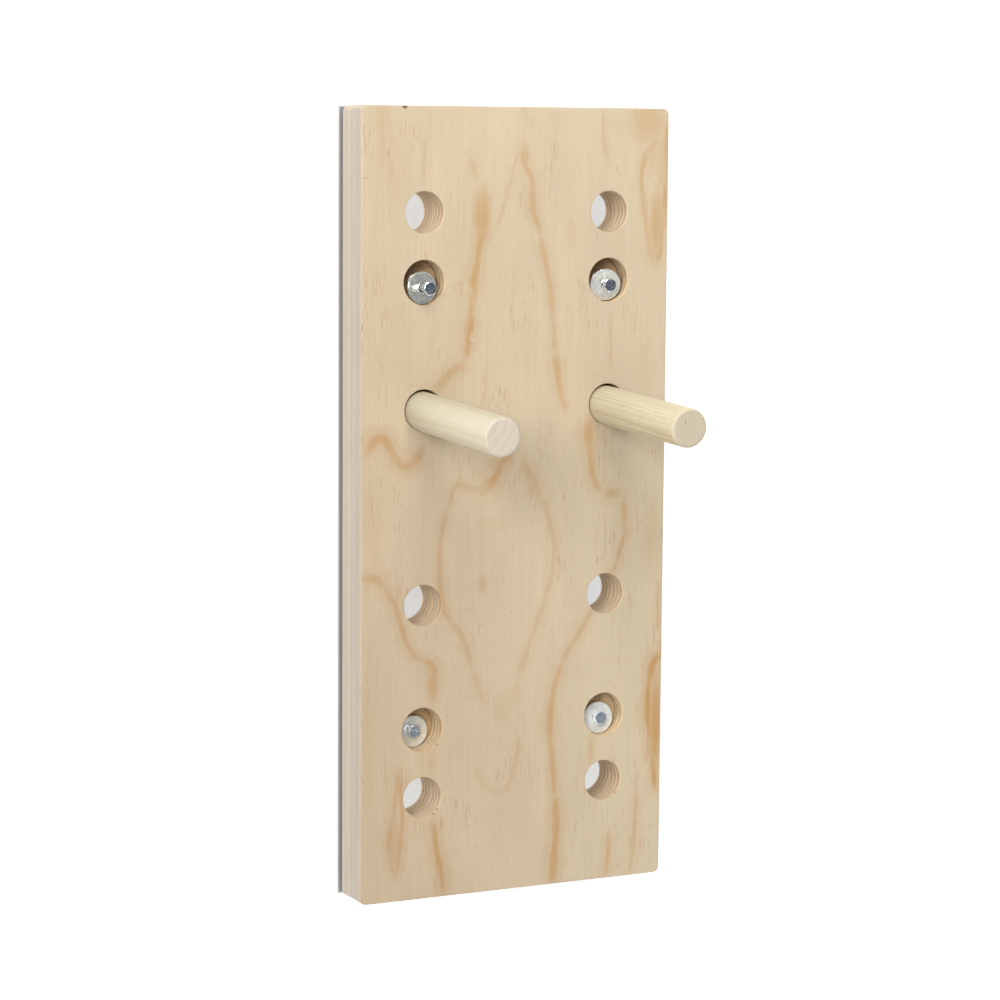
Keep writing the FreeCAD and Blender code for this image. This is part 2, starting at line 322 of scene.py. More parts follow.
def veneer(node, number, material):
    lo, hi = span(node)
    y0, y1 = lo[1], hi[1]
    first, last = number == 0, number == len(NODES) - 1
    cross = "crossband" in node or "centre" in node
    p, along = outline(1.2 if cross else 2.4)
    n = len(p)
    if first:
        rows = [(FRONT_Y + FRONT_ARRIS * (1 - math.cos(a)), FRONT_ARRIS * (1 - math.sin(a)))
                for a in np.linspace(0, math.pi / 2, 6)] + [(y1, 0.0)]
    elif last:
        rows = [(y0, 0.0)] + [(BACK_Y - REAR_ARRIS * (1 - math.sin(a)), REAR_ARRIS * (1 - math.cos(a)))
                              for a in np.linspace(0, math.pi / 2, 6)]
    else:
        third = (y1 - y0) / 3
        rows = [(y0, 0.0), (y0 + third, 0.0), (y1 - third, 0.0), (y1, 0.0)]
    # the sawn edge: each veneer sits a hair in or out, cross veneers are a little
    # hollow where their end grain was sanded, with a few torn spots along the glue line
    wear = 0.02 + 0.02 * value_noise(along, 100 + number, 23.0) + 0.012 * value_noise(along, 300 + number, 4.0)
    if cross:
        wear = wear + 0.05
    verts = []
    for k, (y, inset) in enumerate(rows):
        d = np.full(n, float(inset))
        if not first and not last:
            d = d + wear
            if cross:
                side = np.abs(p[:, 2]) > 0.9
                if k == 0:
                    torn = value_noise(along, 500 + number, 3.1) + 0.5 * value_noise(along, 700 + number, 41.0)
                    amount = 1.0 if number == 1 else 0.45
                    d = d + np.where(side, np.clip(torn - 0.72, 0, 0.5) * 1.5 * amount, 0)
        elif (first and k == len(rows) - 1) or (last and k == 0):
            d = d + 0.4 * wear
        verts.append(np.column_stack([p[:, 0] - p[:, 2] * d, np.full(n, y), p[:, 1] - p[:, 3] * d]))
    loops = [np.arange(n) + k * n for k in range(len(rows))]
    verts = np.concatenate(verts)
    faces = []
    for a, b in zip(loops[:-1], loops[1:]):
        faces += [(a[i], a[(i + 1) % n], b[(i + 1) % n], b[i]) for i in range(n)]
    first_rings, last_rings, first_holes, last_holes = [], [], [], []
    for x, z, kind in HOLES:
        prof = hole_rows(x, z, kind, y0, y1)
        m = 128
        ang = np.arange(m) * 2 * math.pi / m
        base = len(verts)
        ring = []
        for y, r in prof:
            ring.append(np.column_stack([x + r * np.cos(ang), np.full(m, y), z + r * np.sin(ang)]))
        verts = np.concatenate([verts] + ring)
        idx = [base + k * m + np.arange(m) for k in range(len(prof))]
        for a, b in zip(idx[:-1], idx[1:]):
            faces += [(a[i], a[(i + 1) % m], b[(i + 1) % m], b[i]) for i in range(m)]
        first_rings.append(idx[0])
        last_rings.append(idx[-1])
        first_holes.append((x, z, prof[0][1], m))
        last_holes.append((x, z, prof[-1][1], m))

    def grid(y, hole_list, pitch, figure):
        """Points over the face, packed closer where a latewood line crosses it."""
        nonlocal verts

        def lattice(step):
            gx = np.arange(-HALF_W + 1.9, HALF_W - 1.8, step)
            gz = np.arange(-HALF_H + 1.9, HALF_H - 1.8, step)
            q = np.stack(np.meshgrid(gx, gz, indexing="ij"), -1).reshape(-1, 2)
            return q + RNG.uniform(-0.25, 0.25, q.shape) * step

        fine, coarse = lattice(pitch), lattice(4.0)
        fine = fine[figure(fine[:, 0], fine[:, 1])["line"] < 5.0]
        mark = set(map(tuple, np.round(fine / 2.6).astype(int)))
        free = np.array([tuple(c) not in mark for c in np.round(coarse / 2.6).astype(int)])
        q = np.concatenate([fine, coarse[free]])
        ok = np.ones(len(q), bool)
        for x, z, r, _ in hole_list:
            ok &= np.hypot(q[:, 0] - x, q[:, 1] - z) > r + 0.9
        for cx in (-1, 1):
            for cz in (-1, 1):
                ccx, ccz = cx * (HALF_W - CORNER_R), cz * (HALF_H - CORNER_R)
                out = ((q[:, 0] - ccx) * cx > 0) & ((q[:, 1] - ccz) * cz > 0)
                ok &= ~(out & (np.hypot(q[:, 0] - ccx, q[:, 1] - ccz) > CORNER_R - 1.8))
        q = q[ok]
        base = len(verts)
        verts = np.concatenate([verts, np.column_stack([q[:, 0], np.full(len(q), y), q[:, 1]])])
        return [(base + i, tuple(q[i])) for i in range(len(q))]

    def xz(idx):
        return [(verts[i][0], verts[i][2]) for i in idx]

    inner = grid(y0, first_holes, 1.35, front_figure) if first else []
    faces += cap([(loops[0], xz(loops[0]))] + [(r, xz(r)) for r in first_rings], first_holes, inner)
    inner = grid(y1, last_holes, 1.9, back_figure) if last else []
    faces += cap([(loops[-1], xz(loops[-1]))] + [(r, xz(r)) for r in last_rings], last_holes, inner)
    used = np.zeros(len(verts), bool)
    used[np.unique(np.concatenate([np.asarray(f) for f in faces]))] = True
    if not used.all():
        remap = np.cumsum(used) - 1
        faces = [tuple(int(remap[i]) for i in f) for f in faces]
        verts = verts[used]
    faces = [tuple(int(i) for i in f) for f in faces]
    figure = front_figure if number < 7 else back_figure
    attrs = figure(verts[:, 0], verts[:, 2]) if (first or last) else None
    return finish_mesh(node + "_sawn", verts, faces, "board", [node], material, 30.0, attrs)


# ---- finishes -------------------------------------------------------------------------

LIGHT = 1.30             # how much brighter than its albedo a surface facing the room looks


def tone(r, g, b, k=1.0 / LIGHT):
    """The albedo that looks like this 8-bit colour in the studio light."""
    out = []
    for v in (r, g, b):
        v /= 255
        out.append(k * (((v + 0.055) / 1.055) ** 2.4 if v > 0.04045 else v / 12.92))
    return (*out, 1.0)


class Graph:
    """A material's nodes, written as expressions."""

    def __init__(self, name):
        self.mat = bpy.data.materials.new(name)
        self.mat.use_nodes = True
        self.tree = self.mat.node_tree
        self.tree.nodes.clear()

    def put(self, socket, v):
        if isinstance(v, bpy.types.NodeSocket):
            self.tree.links.new(v, socket)
        else:
            socket.default_value = v

    def node(self, kind, inputs=None, **props):
        n = self.tree.nodes.new(kind)
        for k, v in props.items():
            setattr(n, k, v)
        for k, v in (inputs or {}).items():
            self.put(n.inputs[k], v)
        return n

    def math(self, op, a, b=0.0, c=0.0, clamp=False):
        n = self.node("ShaderNodeMath", {0: a, 1: b, 2: c}, operation=op, use_clamp=clamp)
        return n.outputs[0]

    def mul(self, a, b):
        return self.math("MULTIPLY", a, b)

    def add(self, a, b):
        return self.math("ADD", a, b)

    def vec(self, op, a, b=(0, 0, 0), scale=1.0):
        ins = {0: a, 3: scale} if op == "SCALE" else {0: a, 1: b} if op in ("DOT_PRODUCT", "DISTANCE") else {0: a}
        n = self.node("ShaderNodeVectorMath", ins, operation=op)
        return n.outputs["Value" if op in ("LENGTH", "DOT_PRODUCT", "DISTANCE") else "Vector"]

    def split(self, v):
        n = self.node("ShaderNodeSeparateXYZ", {0: v})
        return n.outputs[0], n.outputs[1], n.outputs[2]

    def join(self, x, y, z):
        return self.node("ShaderNodeCombineXYZ", {0: x, 1: y, 2: z}).outputs[0]

    def step(self, v, a, b, lo=0.0, hi=1.0):
        """Smoothly from lo at a to hi at b."""
        n = self.node("ShaderNodeMapRange", {"Value": v, "From Min": a, "From Max": b, "To Min": lo, "To Max": hi},
                      interpolation_type="SMOOTHSTEP")
        return n.outputs[0]

    def curve(self, v, stops):
        """A piecewise-linear function of v on 0..1."""
        n = self.node("ShaderNodeValToRGB", {0: v})
        r = n.color_ramp
        while len(r.elements) > 1:
            r.elements.remove(r.elements[-1])
        r.elements[0].position = stops[0][0]
        r.elements[0].color = (*[stops[0][1]] * 3, 1)
        for at, value in stops[1:]:
            e = r.elements.new(at)
            e.color = (*[value] * 3, 1)
        return n.outputs[0]

    def mix(self, f, a, b, blend="MIX"):
        n = self.node("ShaderNodeMix", data_type="RGBA", blend_type=blend)
        self.put(n.inputs[0], f)
        self.put(n.inputs[6], a)
        self.put(n.inputs[7], b)
        return n.outputs[2]

    def noise(self, v, scale=1.0, detail=3.0, rough=0.55, warp=0.0):
        n = self.node("ShaderNodeTexNoise", {"Vector": v, "Scale": scale, "Detail": detail,
                                             "Roughness": rough, "Distortion": warp})
        return n.outputs[0]

    def place(self, v, at, scale):
        return self.node("ShaderNodeMapping", {"Vector": v, "Location": at, "Scale": scale}).outputs[0]

    def surface(self, colour, rough, height, depth, metal=0.0, spec=0.35, strength=1.0, spun=0.0):
        bump = self.node("ShaderNodeBump", {"Strength": strength, "Distance": depth, "Height": height})
        s = self.node("ShaderNodeBsdfPrincipled", {"Base Color": colour, "Roughness": rough, "Metallic": metal,
                                                   "Specular IOR Level": spec, "Normal": bump.outputs[0]})
        if spun:
            round_z = self.node("ShaderNodeTangent", direction_type="RADIAL", axis="Z")
            self.put(s.inputs["Anisotropic"], spun)
            self.put(s.inputs["Tangent"], round_z.outputs[0])
        out = self.node("ShaderNodeOutputMaterial", {"Surface": s.outputs[0]})
        assert out
        return self.mat


# Small marks on the show face: (x, z, half-width, half-height, strength, colour).
MARKS = [
    (-95.8, 304.2, 2.6, 2.0, 0.85, (92, 62, 40)),
    (-73.2, 287.6, 0.9, 0.9, 0.6, (214, 176, 92)),
    (-128.2, 250.9, 3.2, 0.35, 0.6, (120, 88, 60)),
    # knocks along the left arris
    (-130.7, 139.0, 0.7, 3.5, 0.8, (84, 66, 48)),
    (-130.7, 124.0, 0.55, 7.0, 0.6, (120, 96, 72)),
    (-130.8, 55.0, 0.6, 2.2, 0.8, (70, 55, 42)),
    (-130.8, -18.0, 0.5, 4.0, 0.5, (120, 96, 72)),
    (7.5, 268.0, 0.35, 9.0, 0.55, (150, 108, 70)),
    (-66.6, 118.0, 0.35, 6.5, 0.5, (150, 108, 70)),
    (78.0, 45.0, 0.35, 7.0, 0.5, (150, 108, 70)),
    (-6.0, 149.0, 0.35, 6.0, 0.45, (150, 108, 70)),
    (55.0, -262.0, 0.5, 5.0, 0.4, (150, 110, 72)),
    # torn and scorched spots where the bits left the hole mouths
    (-66.6, -184.2, 1.5, 0.8, 0.7, (104, 74, 50)),
    (-70.2, -238.6, 2.2, 0.6, 0.8, (76, 44, 26)),
    (-66.6, -235.4, 1.2, 0.9, 0.6, (96, 62, 38)),
    (66.0, -161.0, 0.8, 2.2, 0.6, (84, 58, 38)),
    (68.2, -183.4, 1.6, 0.7, 0.5, (104, 74, 48)),
    (-93.6, -83.6, 2.0, 0.7, 0.5, (232, 206, 150)),
    (90.6, -236.0, 1.0, 1.6, 0.5, (104, 74, 48)),
]


def pine(name, seed, tint, cross=False, ringed=False, edge=None, marks=False, contrast=1.0, pale=1.0):
    """Rotary-cut pine veneer. Its grain runs up the board, or across it in a cross veneer."""
    g = Graph(name)
    obj = g.node("ShaderNodeTexCoord").outputs["Object"]
    p = g.vec("SCALE", obj, scale=1000.0)
    x, y, z = g.split(p)
    shift = (13.7 * seed, 7.1 * seed, 3.3 * seed)
    long = (0.018, 1.0, 1.0) if cross else (1.0, 1.0, 0.018)
    longer = (0.05, 1.0, 1.0) if cross else (1.0, 1.0, 0.05)
    fibre = g.noise(g.place(p, shift, long), 0.85, 5.0, 0.62)
    thread = g.noise(g.place(p, shift, longer), 3.4, 3.0, 0.6)
    wave = g.noise(g.place(p, shift, long), 0.16, 2.0, 0.5)
    patch = g.noise(g.place(p, shift, (1, 1, 0.45)), 0.02, 2.0, 0.5)
    n = g.node("ShaderNodeNewGeometry").outputs["True Normal"]
    nx, ny, nz = (g.math("ABSOLUTE", v) for v in g.split(n))
    end = g.step(nx if cross else nz, 0.35, 0.95)
    face = g.step(ny, 0.6, 0.9)
    outer = g.math("MAXIMUM", g.math("GREATER_THAN", g.math("ABSOLUTE", x), HALF_W - 1.6),
                   g.math("GREATER_THAN", g.math("ABSOLUTE", z), HALF_H - 1.6))
    bore = g.mul(g.math("SUBTRACT", 1.0, face), g.math("SUBTRACT", 1.0, outer))

    base = g.mix(g.step(patch, 0.3, 0.7), tone(*[c * 1.012 for c in tint]), tone(*[c * 0.982 for c in tint]))
    if ringed:
        line, power, tan = (g.node("ShaderNodeAttribute", attribute_name=a).outputs["Fac"]
                            for a in ("line", "power", "tan"))
        soft = g.add(g.mul(g.math("SUBTRACT", wave, 0.5), 2.2), g.mul(g.math("SUBTRACT", fibre, 0.5), 3.2))
        core = g.step(g.add(line, soft), 2.3, -0.2)
        halo = g.step(g.add(line, g.mul(soft, 3.2)), 22.0, 0.5, 0.0, 0.34)
        band = g.mul(g.add(g.mul(core, 0.74), halo), g.mul(power, g.step(g.add(g.mul(fibre, 0.6), g.mul(wave, 0.4)), 0.3, 0.7, 0.58, 1.15)))
        tan = g.mul(tan, g.add(0.55, g.mul(g.add(fibre, wave), 0.45)))
        band = g.mul(g.math("MAXIMUM", band, tan), 1 / 1.4)
        k = 1.62 * contrast
        dark = tuple(c * (1 - k * s) for c, s in zip(tint, (0.052, 0.135, 0.262)))
        base = g.mix(g.math("MINIMUM", band, 1.0), base, tone(*dark))
    else:
        across = g.mul(z if cross else x, 0.052)
        r = g.math("FRACT", g.add(g.add(across, g.mul(y, 0.21)), g.add(g.mul(wave, 1.2), g.mul(fibre, 0.3))))
        band = g.curve(r, [(0.0, 0.0), (0.5, 0.05), (0.8, 0.4), (0.92, 0.9), (1.0, 0.0)])
        dark = tuple(c * (1 - 0.7 * contrast * s) for c, s in zip(tint, (0.075, 0.155, 0.265)))
        base = g.mix(band, base, tone(*dark))

    # fibres: fine pale and dark lines along the grain, and short brown resin dashes
    fine = g.add(g.mul(g.math("SUBTRACT", fibre, 0.5), 0.25), g.mul(g.math("SUBTRACT", thread, 0.5), 0.24))
    base = g.mix(1.0, base, g.join(*[g.add(g.mul(fine, s), 1.0) for s in (0.72, 0.9, 1.15)]), "MULTIPLY")
    short = (0.06, 1.0, 1.0) if cross else (1.0, 1.0, 0.06)
    crowd = g.math("SUBTRACT", g.noise(g.place(p, shift, (1, 1, 0.5)), 0.045, 2.0, 0.5), 0.5)
    dash = g.step(g.add(g.noise(g.place(p, shift, short), 1.0, 1.0, 0.4), g.mul(crowd, 0.72)), 0.69, 0.79)
    base = g.mix(g.mul(dash, 0.50), base, tone(180, 138, 99))
    shorter = (0.22, 1.0, 1.0) if cross else (1.0, 1.0, 0.22)
    tick = g.step(g.add(g.noise(g.place(p, (31, 17, 9), shorter), 1.1, 0.0, 0.4), g.mul(crowd, 0.25)), 0.80, 0.86)
    base = g.mix(g.mul(tick, 0.6), base, tone(140, 104, 74))
    if marks:
        # painted shade: the sheet is painted a little darker and warmer to the left and towards the bottom
        u, v = g.mul(x, -1 / HALF_W), g.mul(z, -1 / HALF_H)
        f = g.add(g.add(g.mul(u, 0.035), g.mul(v, 0.020)), g.add(g.mul(g.mul(u, v), 0.020), 0.035))
        base = g.mix(1.0, base, g.join(*[g.add(g.mul(f, -2.2 * s), 1.0) for s in (0.8, 1.0, 1.12)]), "MULTIPLY")
        for mx, mz, rx, rz, s, colour in MARKS:
            q = g.join(g.mul(g.add(x, -mx), 1 / rx), 0.0, g.mul(g.add(z, -mz), 1 / rz))
            m = g.step(g.add(g.vec("LENGTH", q), g.mul(g.math("SUBTRACT", fibre, 0.5), 0.5)), 1.15, 0.55)
            m = g.mul(m, g.step(y, FRONT_Y + 1.6, FRONT_Y + 0.6))
            base = g.mix(g.mul(m, s), base, tone(*colour))

    # cut edges: end grain is darker and open; the bore walls are painted paler and a little pink, painted light for the
    # light that reaches them through the holes
    pore = g.noise(g.place(p, shift, (1, 1, 1)), 2.1, 3.0, 0.7)
    rays = g.noise(g.place(p, shift, (0.35, 2.6, 0.35)), 1.0, 3.0, 0.6)
    open_grain = g.add(g.mul(g.math("SUBTRACT", pore, 0.5), 0.55), g.mul(g.math("SUBTRACT", rays, 0.5), 0.45))
    colour = edge or tuple(c * s for c, s in zip(tint, (0.93, 0.915, 0.90)))
    e = g.mix(1.0, tone(*colour), g.join(*[g.add(g.mul(open_grain, s), 1.0) for s in (0.8, 1.0, 1.2)]), "MULTIPLY")
    pit = g.step(pore, 0.66, 0.74)
    e = g.mix(g.mul(pit, 0.45), e, tone(112, 82, 58))
    base = g.mix(g.mul(end, 0.85), base, e)
    side_tint = edge or tint
    base = g.mix(g.mul(g.mul(g.math("SUBTRACT", 1.0, face), g.math("SUBTRACT", 1.0, end)), outer),
                 base, g.mix(g.step(fibre, 0.3, 0.7), tone(*[c * 0.93 for c in side_tint]), tone(*[c * 1.02 for c in side_tint])))
    turn = g.noise(g.place(p, shift, (0.06, 1.9, 0.06)), 1.0, 2.0, 0.5)
    # painted light: the bore walls are painted paler, and pale makes the back veneer's bores paler still
    bore_light_shade = g.mix(g.step(turn, 0.35, 0.65), (1.20 * pale, 1.10 * pale, 0.985 * pale, 1), (1.34 * pale, 1.27 * pale, 1.17 * pale, 1))
    # the counterbores carry painted light and shade: their walls are painted paler, with painted shade on the upper
    # left side away from the light, and the floor is painted darker to the upper left with a dark ring of painted shade
    # in its corner
    cx = g.add(x, g.mul(g.math("SIGN", x), -COL_X))
    cz = g.add(z, g.mul(g.math("SIGN", z), -SCREW_Z))
    rad = g.vec("LENGTH", g.join(cx, 0.0, cz))
    recess_light_shade_mask = g.mul(g.step(rad, 17.9, 17.4), g.step(y, -14.5, -15.5))
    upper_left_shade = g.step(g.add(g.add(g.mul(cx, -0.75 / 17), g.mul(cz, 0.66 / 17)), g.mul(g.math("SUBTRACT", turn, 0.5), 0.5)), 0.0, 0.85)
    wall = g.mix(g.step(turn, 0.56, 0.70), (1.34, 1.24, 1.04, 1), (0.86, 0.70, 0.52, 1))
    wall = g.mix(upper_left_shade, wall, (0.42, 0.30, 0.21, 1))
    # painted shade: a dark ring where the recess floor meets its wall
    ring = g.mul(g.step(rad, 15.9, 16.8), g.step(y, FRONT_Y + 2.0, FRONT_Y + 4.0))
    flat = g.mix(g.mul(upper_left_shade, 0.85), (0.98, 0.83, 0.65, 1), (0.36, 0.26, 0.18, 1))
    flat = g.mix(ring, flat, (0.24, 0.16, 0.10, 1))
    bore_light_shade = g.mix(recess_light_shade_mask, bore_light_shade, g.mix(face, wall, flat))
    base = g.mix(g.math("MAXIMUM", bore, g.mul(recess_light_shade_mask, 0.8)), base, g.mix(1.0, base, bore_light_shade, "MULTIPLY"))
    height = g.add(g.add(g.mul(fibre, 0.5), g.mul(thread, 0.35)), g.mul(g.mul(end, pore), 0.8))
    height = g.add(height, g.mul(bore, g.mul(turn, 1.2)))
    rough = g.add(g.step(fibre, 0.2, 0.8, 0.52, 0.64), g.mul(end, 0.12))
    return g.surface(base, rough, height, 0.00016, spec=0.30)


def dowel_wood(name, seed, tint, pith, spacing, contrast, streak, crack, face):
    """Turned dowel, cut from a plank: rings about a pith far off the dowel's own axis."""
    g = Graph(name)
    obj = g.node("ShaderNodeTexCoord").outputs["Object"]
    p = g.vec("SCALE", obj, scale=1000.0)
    x, y, z = g.split(p)
    shift = (5.3 * seed, 11.9 * seed, 2.7 * seed)
    fibre = g.noise(g.place(p, shift, (1, 1, 0.02)), 1.0, 5.0, 0.62)
    thread = g.noise(g.place(p, shift, (1, 1, 0.06)), 3.8, 3.0, 0.6)
    wave = g.noise(g.place(p, shift, (1, 1, 0.05)), 0.10, 2.0, 0.5)
    r = g.vec("LENGTH", g.join(g.add(x, pith[0]), g.add(y, pith[1]), 0.0))
    r = g.math("FRACT", g.add(g.mul(r, 1 / spacing), g.add(g.mul(wave, 0.9), g.mul(fibre, 0.16))))
    late = g.curve(r, [(0.0, 0.0), (0.35, 0.0), (0.78, 0.45), (0.92, 1.0), (0.96, 0.6), (1.0, 0.0)])
    n = g.node("ShaderNodeNewGeometry").outputs["Normal"]
    local = g.node("ShaderNodeVectorTransform", {0: n}, vector_type="NORMAL", convert_from="WORLD", convert_to="OBJECT")
    _, _, nz = g.split(local.outputs[0])
    end = g.step(g.math("ABSOLUTE", nz), 0.45, 0.95)
    base = g.mix(g.mul(late, contrast), tone(*tint), tone(tint[0] * 0.93, tint[1] * 0.86, tint[2] * 0.76))
    fine = g.add(g.mul(g.math("SUBTRACT", fibre, 0.5), streak), g.mul(g.math("SUBTRACT", thread, 0.5), streak * 0.8))
    base = g.mix(1.0, base, g.join(*[g.add(g.mul(fine, s), 1.0) for s in (0.7, 0.9, 1.15)]), "MULTIPLY")
    dash = g.step(g.noise(g.place(p, shift, (1, 1, 0.09)), 1.2, 1.0, 0.4), 0.72, 0.79)
    base = g.mix(g.mul(dash, streak * 1.6), base, tone(150, 112, 78))
    pore = g.noise(g.place(p, shift, (1, 1, 1)), 2.6, 3.0, 0.7)
    saw = g.noise(g.place(p, (seed, 0, 0), (0.5, 3.0, 1)), 0.8, 2.0, 0.6)
    e = g.mix(g.mul(late, contrast), tone(*[c * k for c, k in zip(tint, face)]),
              tone(*[c * k * s for c, k, s in zip(tint, face, (0.93, 0.89, 0.83))]))
    e = g.mix(1.0, e, g.join(*[g.add(g.mul(g.math("SUBTRACT", pore, 0.5), s), 1.0) for s in (0.30, 0.36, 0.42)]), "MULTIPLY")
    if crack:
        cx, cy, length = crack
        q = g.join(g.mul(g.add(x, -cx), 1 / 0.28), g.mul(g.add(y, -cy), 1 / length), 0.0)
        e = g.mix(g.mul(g.step(g.vec("LENGTH", q), 1.1, 0.6), 0.8), e, tone(96, 70, 50))
    base = g.mix(end, base, e)
    height = g.add(g.add(g.mul(fibre, 0.45), g.mul(thread, 0.3)), g.mul(end, g.add(g.mul(pore, 0.5), g.mul(saw, 0.6))))
    rough = g.add(g.step(fibre, 0.2, 0.8, 0.44, 0.56), g.mul(end, 0.14))
    return g.surface(base, rough, height, 0.00012, spec=0.38)


def zinc(name, seed, bright, spin, rough0, spun=0.0, metal=1.0, cast=(1, 1, 1)):
    """Bright zinc plate: bluish, clouded, scratched, with faint turning marks on the faces."""
    g = Graph(name)
    obj = g.node("ShaderNodeTexCoord").outputs["Object"]
    p = g.vec("SCALE", obj, scale=1000.0)
    x, y, z = g.split(p)
    shift = (3.1 * seed, 5.7 * seed, 9.1 * seed)
    cloud = g.noise(g.place(p, shift, (1, 1, 1)), 0.22, 4.0, 0.6, 0.4)
    speck = g.noise(g.place(p, shift, (1, 1, 1)), 2.4, 4.0, 0.65)
    radius = g.vec("LENGTH", g.join(x, y, 0.0))
    groove = g.noise(g.join(g.mul(radius, 2.6), seed * 1.7, 0.0), 1.0, 3.0, 0.6)
    s1 = g.noise(g.place(g.node("ShaderNodeVectorRotate", {"Vector": p, "Axis": (0, 0, 1), "Angle": 0.7 + seed}).outputs[0],
                         shift, (0.06, 3.5, 1)), 1.0, 2.0, 0.5)
    s2 = g.noise(g.place(g.node("ShaderNodeVectorRotate", {"Vector": p, "Axis": (0, 0, 1), "Angle": 2.1 + seed}).outputs[0],
                         shift, (0.05, 4.5, 1)), 1.0, 2.0, 0.5)
    scratch = g.math("MAXIMUM", g.step(s1, 0.64, 0.70), g.step(s2, 0.66, 0.71))
    c = g.mix(g.step(cloud, 0.35, 0.65), (0.60 * bright, 0.635 * bright, 0.69 * bright, 1),
              (0.74 * bright, 0.735 * bright, 0.70 * bright, 1))
    c = g.mix(g.mul(g.step(speck, 0.60, 0.72), 0.25), c, (0.36 * bright, 0.37 * bright, 0.40 * bright, 1))
    c = g.mix(g.mul(scratch, 0.35), c, (0.86, 0.87, 0.90, 1))
    c = g.mix(1.0, c, (*cast, 1), "MULTIPLY")
    rough = g.add(g.add(rough0, g.mul(g.math("SUBTRACT", cloud, 0.5), 0.10)), g.mul(scratch, 0.10))
    height = g.add(g.add(g.mul(groove, spin), g.mul(speck, 0.35)), g.mul(scratch, -0.5))
    return g.surface(c, rough, height, 0.00004, metal=metal, spec=0.5, spun=spun)


# ---- loose dowels and wall fixings -----------------------------------------------------

def placed(ob_name, verts, faces, matrix, body, node, material, sharp=35.0):
    """Like finish_mesh, for a piece with its own axes: verts in its own millimetres."""
    me_ob = finish_mesh(ob_name, verts, faces, body, [], material, sharp)
    me_ob.parent = None
    me_ob.matrix_world = matrix
    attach(me_ob, body)
    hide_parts(node)
    return me_ob


def turned(profile, m, shape=None):
    """A closed surface of revolution about Z. profile is (r, z) from pole to pole; r 0 at both."""
    ang = np.arange(m) * 2 * math.pi / m
    verts, rows, faces = [], [], []
    for k, (r, z) in enumerate(profile):
        if r <= 1e-9:
            rows.append([len(verts)])
            verts.append((0.0, 0.0, z))
            continue
        rr = np.full(m, r) if shape is None else shape(k, r, z, ang)
        zz = np.full(m, z)
        if isinstance(rr, tuple):
            rr, zz = rr
        rows.append(list(range(len(verts), len(verts) + m)))
        verts += [(rr[i] * math.cos(ang[i]), rr[i] * math.sin(ang[i]), zz[i]) for i in range(m)]
    for a, b in zip(rows[:-1], rows[1:]):
        for i in range(m):
            j = (i + 1) % m
            if len(a) == 1:
                faces.append((a[0], b[j], b[i]))
            elif len(b) == 1:
                faces.append((a[i], a[j], b[0]))
            else:
                faces.append((a[i], a[j], b[j], b[i]))
    return np.array(verts), faces


PEG_LEN = {"left": 172.0, "right": 166.0}
PEG_REAR_Y, PEG_RAD, PEG_END = -0.95, 15.0, 2.6


def peg(side, material):
    axis = Vector(next(j for j in frame["joints"] if j["name"] == f"{side}_peg_slide")["axis"]).normalized()
    x_axis = Vector((1, 0, 0))
    y_axis = axis.cross(x_axis)
    lo, hi = span(f"{side}_peg")
    length = PEG_LEN[side]
    # the rear centre, from the node's own box and the dowel's slope
    c, s = abs(axis.y), abs(axis.z)
    out_y = lo[1] + PEG_END * (1 - c) - 0.0
    z_rear = 75.0 + (s / c) * (PEG_REAR_Y + 18.0)
    m = Matrix((( x_axis.x, y_axis.x, axis.x, SIDE[side] * COL_X * MM),
                ( x_axis.y, y_axis.y, axis.y, PEG_REAR_Y * MM),
                ( x_axis.z, y_axis.z, axis.z, z_rear * MM),
                (0, 0, 0, 1)))
    assert out_y < PEG_REAR_Y
    prof = [(0.0, 0.0), (3.0, 0.0), (6.0, 0.0), (9.0, 0.0), (11.2, 0.0)]
    for a in np.linspace(0, math.pi / 2, 10):
        prof.append((PEG_RAD - PEG_END + PEG_END * math.sin(a), PEG_END * (1 - math.cos(a))))
    for z in np.arange(PEG_END + 3.0, length - PEG_END - 1.5, 3.0):
        prof.append((PEG_RAD, float(z)))
    for a in np.linspace(math.pi / 2, 0, 10):
        prof.append((PEG_RAD - PEG_END + PEG_END * math.sin(a), length - PEG_END * (1 - math.cos(a))))
    prof += [(11.2, length), (9.0, length), (6.0, length), (3.0, length), (0.0, length)]
    seed = 11 if side == "left" else 23

    def shape(k, r, z, ang):
        # planed, not turned: faint flats and a gentle wander, at most 0.03 mm under size
        d = 0.013 + 0.007 * np.sin(3 * ang + seed) + 0.005 * math.sin(z / 17 + seed)
        dz = 0.0
        if r < 12.5:
            dz = 0.02 * np.sin(ang * 2 + r) * (r / 12.5) * (1 if z < 1 else -1)
            return np.full(len(ang), r), np.full(len(ang), z) + np.abs(dz) * (1 if z < 1 else -1)
        return r - d

    verts, faces = turned(prof, 112, shape)
    return placed(f"{side}_peg_dowel", verts, faces, m, f"{side}_peg", f"{side}_peg", material)


SCREWS = {   # y of the head's outer face, its turn; y of the washer's centre, its yaw and nod
    "upper_left": (-47.0, 12.0, -31.0, -5.0, -2.0),
    "upper_right": (-39.2, 20.0, -30.0, 9.0, 8.0),
    "lower_left": (-22.1, 4.0, -17.15, -1.0, 1.0),
    "lower_right": (-31.55, 26.0, -26.15, 3.0, -4.0),
}
HEAD_AF, HEAD_H, HEAD_FLAT, SHANK_R, THREAD_R = 10.0, 4.0, 4.65, 2.8, 3.0
SHANK_LEN, SCREW_LEN, TIP_LEN, SCREW_DROP = 44.0, 70.0, 9.0, 3.95
WASHER_R, WASHER_HOLE, WASHER_T, WASHER_EDGE = 12.5, 3.3, 1.5, 0.3

INTO_WALL = Matrix(((1, 0, 0), (0, 0, 1), (0, -1, 0)))      # own X to +X, own Z to +Y


